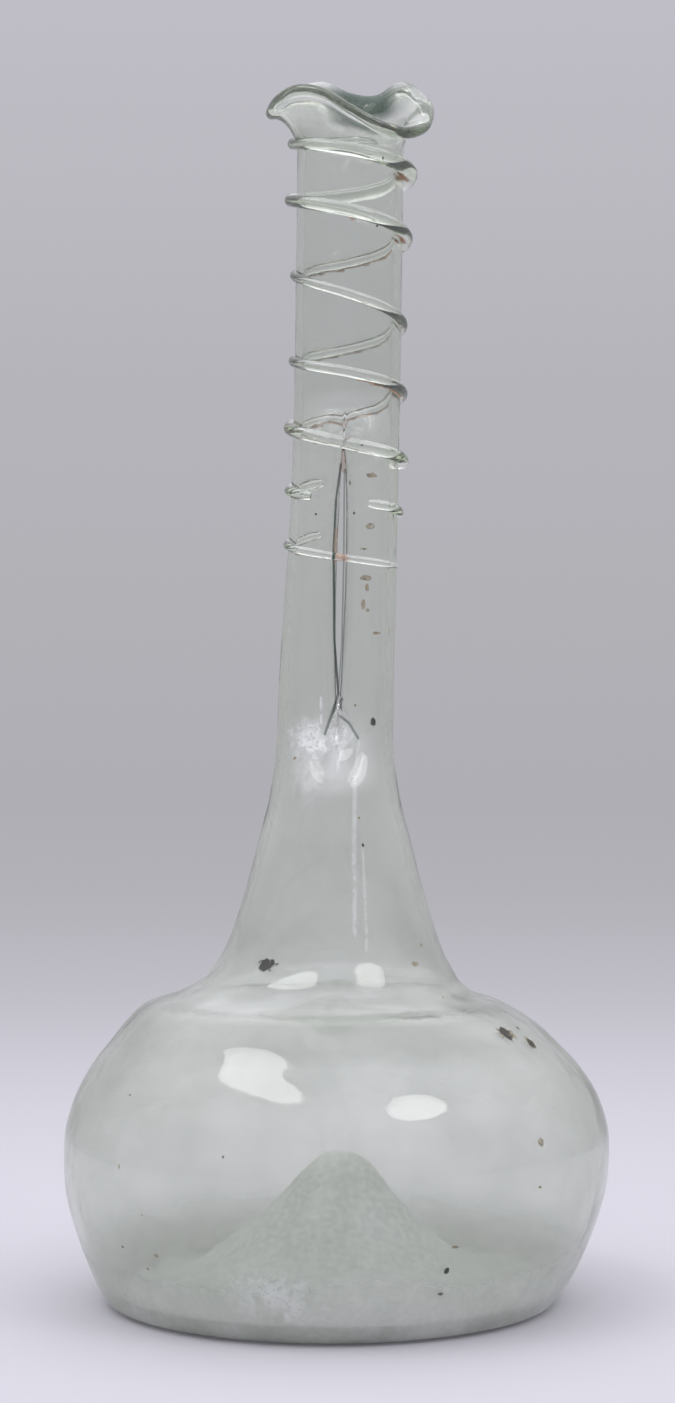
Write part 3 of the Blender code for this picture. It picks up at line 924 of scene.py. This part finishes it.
def edges_mask(recipe, place, edges):
    """Strength of the edges, by distance in the upright plane across the view."""
    total = None
    for (x0, z0), (x1, z1), half_width, strength in edges:
        reach = math.hypot(x1 - x0, z1 - z0) / 2 / half_width
        turned = recipe.node("ShaderNodeMapping", {"vector_type": "TEXTURE"}, {
            "Vector": place, "Location": ((x0 + x1) / 2, 0.0, (z0 + z1) / 2),
            "Rotation": (0.0, math.atan2(x1 - x0, z1 - z0), 0.0), "Scale": (half_width, 1000.0, half_width)})
        capped = recipe.node("ShaderNodeVectorMath", {"operation": "MAXIMUM"}, {0: turned, 1: (0, 0, -reach)})
        capped = recipe.node("ShaderNodeVectorMath", {"operation": "MINIMUM"}, {0: capped, 1: (0, 0, reach)})
        far = recipe.node("ShaderNodeVectorMath", {"operation": "DISTANCE"}, {0: turned, 1: capped}, 1)
        line = far.between(1.4, 0.7) * strength
        total = line if total is None else total.larger(line)
    return total


print("flecks are balls, and edges are rods seen from the front")


# %% Grain and places that the finish is written from
def kept(recipe, name):
    """A number that was stored on the points."""
    return recipe.node("ShaderNodeAttribute", {"attribute_name": name}, {}, 2)


glass_material = bpy.data.materials.new("weathered pale glass")
bottle.data.materials.append(glass_material)
glass_material.use_nodes = True
recipe = Recipe(glass_material.node_tree)
place = recipe.node("ShaderNodeTexCoord", {}, {}, 3)
x, y, z = (recipe.node("ShaderNodeSeparateXYZ", {}, {"Vector": place}, k) for k in range(3))
outside, thread, rust = (kept(recipe, name) for name in ("weathered", "thread", "rust"))
pits = recipe.grain(place, 0.9 * MM, 1.0)
fine = recipe.grain(place, 1.6 * MM, 3.0)
feathers = recipe.grain(place, 2.2 * MM, 3.0)
drawn = recipe.grain(recipe.scaled(place, (1.0, 1.0, 0.1)), 5 * MM, 3.0)
waves = recipe.grain(place, 9 * MM, 1.0)
cloud = recipe.grain(place, 20 * MM, 3.0)
bump = recipe.node("ShaderNodeBump", {}, {"Strength": 1.0, "Distance": 0.1 * MM,
                                          "Height": 0.06 * pits + 0.9 * waves})
print("six sizes of grain, and", len(glass_material.node_tree.nodes), "nodes so far")

# %% Clear glass under a milky film
FILM = (0.68, 0.71, 0.64)
MILKY = (0.80, 0.82, 0.775)

body = z.between(125 * MM, 85 * MM)
heel = z.between(22 * MM, 4 * MM)
lip = z.between(286 * MM, 293 * MM)
lobe = x.between(11 * MM, 17 * MM) * lip
haze_and_base_light = 0.02 + 0.08 * body + 0.05 * cloud.between(0.3, 0.75) * drawn.between(0.25, 0.7)
# The heavy film on the heel is real film and also painted light, where light comes through the base.
haze_and_base_light = haze_and_base_light + body * 0.07 * cloud.between(0.35, 0.7) + heel * (0.4 + 0.06 * fine.between(0.3, 0.7))
haze_and_base_light = haze_and_base_light + lip * (0.04 + 0.09 * fine.between(0.4, 0.7)) + 0.04 * lobe
haze_and_base_light = haze_and_base_light + thread * outside * (0.05 + 0.12 * fine.between(0.3, 0.75))

clouded = 0.015 + 0.055 * body * (1 - outside)
tint = recipe.ramp(cloud, [(0.35, FILM), (0.65, MILKY)])
print("the film takes from 2 to about 50 hundredths of the surface")

# %% Pale crust on the punt, partly painted light, and dark green on the back of the lip, the upper neck and the shoulder
SALT_AND_PAINTED_LIGHT = (0.88, 0.93, 0.885)
# Dark green for the back of the lip and the faint darkening higher up, and for the painted shade along the
# seam.
DARK_GREEN_AND_SHADE = (0.035, 0.075, 0.05)

radius = recipe.node("ShaderNodeVectorMath", {"operation": "LENGTH"},
                     {0: recipe.scaled(place, (1.0, 1.0, 0.0))}, 1)
# Painted light: the crust on the punt is real, but it is made dense and pale so that the base looks lit
# through the glass.
punt = radius.between(56 * MM, 52 * MM) * z.between(42 * MM, 38 * MM)
punt = punt * (0.46 + 0.2 * fine.between(0.3, 0.7))

# Dark green in a band on the back of the lip.
back_lip = y.between(1 * MM, 6 * MM) * x.between(-4 * MM, 3 * MM) * z.between(295 * MM, 299 * MM)
back_lip = back_lip * (1 - 0.8 * lobe) * fine.between(0.2, 0.45) * 0.75
# A faint darkening over the upper neck and over the shoulder.
upper_neck = z.between(205 * MM, 235 * MM)
shoulder = z.between(60 * MM, 68 * MM) * z.between(98 * MM, 84 * MM)
green = back_lip.larger(0.03 * (upper_neck + shoulder))


def unmarked(recipe):
    """Clear glass under its film, its crust, which is partly painted light, and dark green, made anew for
    each branch of the mixes.
    """
    glass = recipe.node("ShaderNodeBsdfPrincipled", {}, {
        "Base Color": (1.0, 1.0, 1.0, 1.0), "Roughness": clouded, "IOR": 1.5,
        "Transmission Weight": 1.0, "Normal": bump})
    made = recipe.mix_shader(haze_and_base_light, glass, matt(recipe, tint, 0.7, bump))
    made = recipe.mix_shader(punt, made, matt(recipe, (*SALT_AND_PAINTED_LIGHT, 1.0), 0.8, bump))
    return recipe.mix_shader(green, made, matt(recipe, (*DARK_GREEN_AND_SHADE, 1.0), 0.5, bump))


inner_side = unmarked(recipe)
print("the inner side is done, with", len(glass_material.node_tree.nodes), "nodes")

# %% White frost, pale streaks, painted highlights and a painted patch of light
FROST_AND_HIGHLIGHT_WHITE = (0.86, 0.88, 0.88)
SPECKS_PER_METRE = 900.0

specks = recipe.node("ShaderNodeTexVoronoi", {}, {"Vector": place, "Scale": SPECKS_PER_METRE})
near = y.between(1 * MM, -1 * MM)
frost_and_highlights = None
# The frost patches are real, except the last one, low on the body, which is a painted patch of light.
for mark in frosts_and_light_patch:
    dense = (distance_to(recipe, place, mark) + 1.2 * feathers).between(1.75, 0.85) * mark[4]
    frost_and_highlights = dense if frost_and_highlights is None else frost_and_highlights.larger(dense)
frost_and_highlights = frost_and_highlights * specks.between(0.1, 0.3) * fine.between(0.2, 0.55) * drawn.between(0.3, 0.5)
# Some of the pale streaks are painted highlights: the two short ones at the foot of the seam.
streaks_and_highlights = edges_mask(recipe, place, pale_streaks_and_highlights) * near
frost_and_highlights = frost_and_highlights.larger(streaks_and_highlights * fine.between(0.2, 0.6))
front = recipe.mix_shader(frost_and_highlights, unmarked(recipe), matt(recipe, (*FROST_AND_HIGHLIGHT_WHITE, 1.0), 0.8, bump))
# Painted shade: dark green lines along the seam, on the front only.
edges = edges_mask(recipe, place, seam_shade_lines) * near
front = recipe.mix_shader(edges, front, matt(recipe, (*DARK_GREEN_AND_SHADE, 1.0), 0.4, bump))
print(len(frosts_and_light_patch), "patches of frost and", len(seam_shade_lines) + len(pale_streaks_and_highlights), "lines")

# %% Earth and stains
PINK = (0.62, 0.36, 0.24, 1.0)
BLACK_EARTH = (0.03, 0.032, 0.026, 1.0)

ragged = 1.4 * fine
earth = recipe.ramp(pits, [
    (0.30, (0.10, 0.045, 0.025)), (0.43, (0.36, 0.12, 0.045)),
    (0.56, (0.58, 0.22, 0.09)), (0.72, (0.60, 0.42, 0.24))])
crust = (rust + 0.6 * (fine - 0.5)).between(0.45, 0.85) * 0.7
behind = recipe.mix_shader(crust, unmarked(recipe), matt(recipe, earth, 0.85, bump))
front = recipe.mix_shader(crust, front, matt(recipe, earth, 0.85, bump))
stain = flecks_mask(recipe, place, pink_stains, ragged) * 0.42
front = recipe.mix_shader(stain, front, matt(recipe, PINK, 0.8, bump))
olive = recipe.ramp(pits, [
    (0.35, (0.09, 0.075, 0.04)), (0.5, (0.22, 0.16, 0.08)), (0.65, (0.33, 0.27, 0.17))])
brown = flecks_mask(recipe, place, brown_flecks, ragged) * fine.between(0.2, 0.5) * 0.75
front = recipe.mix_shader(brown, front, matt(recipe, olive, 0.8, bump))
dark = flecks_mask(recipe, place, dark_flecks, ragged) * 0.92
front = recipe.mix_shader(dark, front, matt(recipe, BLACK_EARTH, 0.6, bump))
print(len(dark_flecks), "dark and", len(brown_flecks), "brown flecks")

# %% Join the sides, and colour the depth of the glass
GLASS_GREEN = (0.64, 0.80, 0.42)
GLASS_DENSITY = 48.0

outer_side = recipe.mix_shader(y.between(2 * MM, 1 * MM), behind, front)
surface = recipe.mix_shader(outside, inner_side, outer_side)
absorb = recipe.node("ShaderNodeVolumeAbsorption", {}, {
    "Color": (*GLASS_GREEN, 1.0), "Density": GLASS_DENSITY})
recipe.node("ShaderNodeOutputMaterial", {}, {"Surface": surface, "Volume": absorb})
print(glass_material.name, "has", len(glass_material.node_tree.nodes), "nodes")

# %% [markdown]
# ## Floor, surroundings and light
#
# The bottle stands on a plain pale floor. A studio sweep would be the usual backdrop, but it has a front
# and a back, and this bottle is looked at from all round. So the floor is a disc that fades out with
# distance into soft surroundings, whose brightness depends on height alone. A soft box high on the left
# and a lower, weaker one on the right give the bright windows on the shoulder.

# %% Pale floor
FLOOR_RADIUS = 1.6
FLOOR_DROP = 0.3 * MM
PAPER = (0.55, 0.545, 0.575, 1.0)

floor_mesh = bmesh.new()
bmesh.ops.create_circle(floor_mesh, cap_ends=True, segments=96, radius=FLOOR_RADIUS)
floor_data = bpy.data.meshes.new("floor")
floor_mesh.to_mesh(floor_data)
floor_mesh.free()
floor = bpy.data.objects.new("floor", floor_data)
bpy.context.scene.collection.objects.link(floor)
floor.location = (0.0, 0.0, -FLOOR_DROP)

floor_data.materials.append(bpy.data.materials.new("pale floor"))
floor_data.materials[0].use_nodes = True
recipe = Recipe(floor_data.materials[0].node_tree)
place = recipe.node("ShaderNodeTexCoord", {}, {}, 3)
away = recipe.node("ShaderNodeVectorMath", {"operation": "LENGTH"}, {0: place}, 1)
paper = recipe.node("ShaderNodeBsdfPrincipled", {}, {
    "Base Color": PAPER, "Roughness": 0.9, "Specular IOR Level": 0.1})
gone = recipe.node("ShaderNodeBsdfTransparent", {}, {})
recipe.node("ShaderNodeOutputMaterial", {}, {
    "Surface": recipe.mix_shader(away.between(-0.1, 0.8), paper, gone)})
print("the floor is", 2 * FLOOR_RADIUS, "m wide")

# %% Soft surroundings
world = bpy.data.worlds.new("studio")
bpy.context.scene.world = world
world.use_nodes = True
recipe = Recipe(world.node_tree)
direction = recipe.node("ShaderNodeTexCoord", {}, {}, 0)
up = recipe.node("ShaderNodeSeparateXYZ", {}, {"Vector": direction}, 2)
backdrop = recipe.ramp(up * 0.5 + 0.5, [
    (0.0, paint(219, 217, 228)), (0.415, paint(217, 215, 226)), (0.432, paint(205, 203, 213)),
    (0.448, paint(193, 192, 201)), (0.464, paint(179, 178, 185)), (0.48, paint(175, 174, 181)),
    (0.513, paint(177, 177, 182)), (0.545, paint(181, 180, 187)), (0.606, paint(191, 190, 198)),
    (0.68, paint(200, 199, 206))])
overhead = up.between(0.32, 0.75)
glow = recipe.node("ShaderNodeBackground", {}, {"Color": backdrop, "Strength": 1.0 + 1.55 * overhead})
recipe.node("ShaderNodeOutputWorld", {}, {"Surface": glow})
print(world.name, "has", len(world.node_tree.nodes), "nodes")

# %% Soft boxes
LIGHT_DISTANCE = 1.2
LIGHT_AIM = Vector((0.0, 0.0, 0.1))
# Name, direction, width and height in metres, power in watts.
SOFT_BOXES = (("high on the left", (-0.402, -0.250, 0.881), 0.82, 0.32, 2.3),
              ("lower on the right", (0.472, -0.437, 0.766), 0.5, 0.34, 1.6))
for name, direction, wide, tall, power in SOFT_BOXES:
    soft_data = bpy.data.lights.new(name, "AREA")
    soft_data.shape = "ELLIPSE"
    soft_data.size = wide
    soft_data.size_y = tall
    soft_data.energy = power
    soft = bpy.data.objects.new(name, soft_data)
    bpy.context.scene.collection.objects.link(soft)
    soft.location = LIGHT_AIM + Vector(direction) * LIGHT_DISTANCE
    soft.rotation_euler = Vector(direction).to_track_quat("Z", "Y").to_euler()
print(len(SOFT_BOXES), "soft boxes")

# %% Plain colours, and light that passes many walls
scene = bpy.context.scene
scene.view_settings.view_transform = "Standard"
scene.view_settings.look = "None"
scene.cycles.max_bounces = 12
scene.cycles.transmission_bounces = 12
scene.cycles.diffuse_bounces = 2
scene.cycles.glossy_bounces = 4
scene.cycles.sample_clamp_indirect = 10.0
print("light may pass", scene.cycles.transmission_bounces, "surfaces of glass")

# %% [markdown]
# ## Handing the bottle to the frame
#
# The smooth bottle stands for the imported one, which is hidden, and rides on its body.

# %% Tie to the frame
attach(bottle, "root")
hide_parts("bottle")
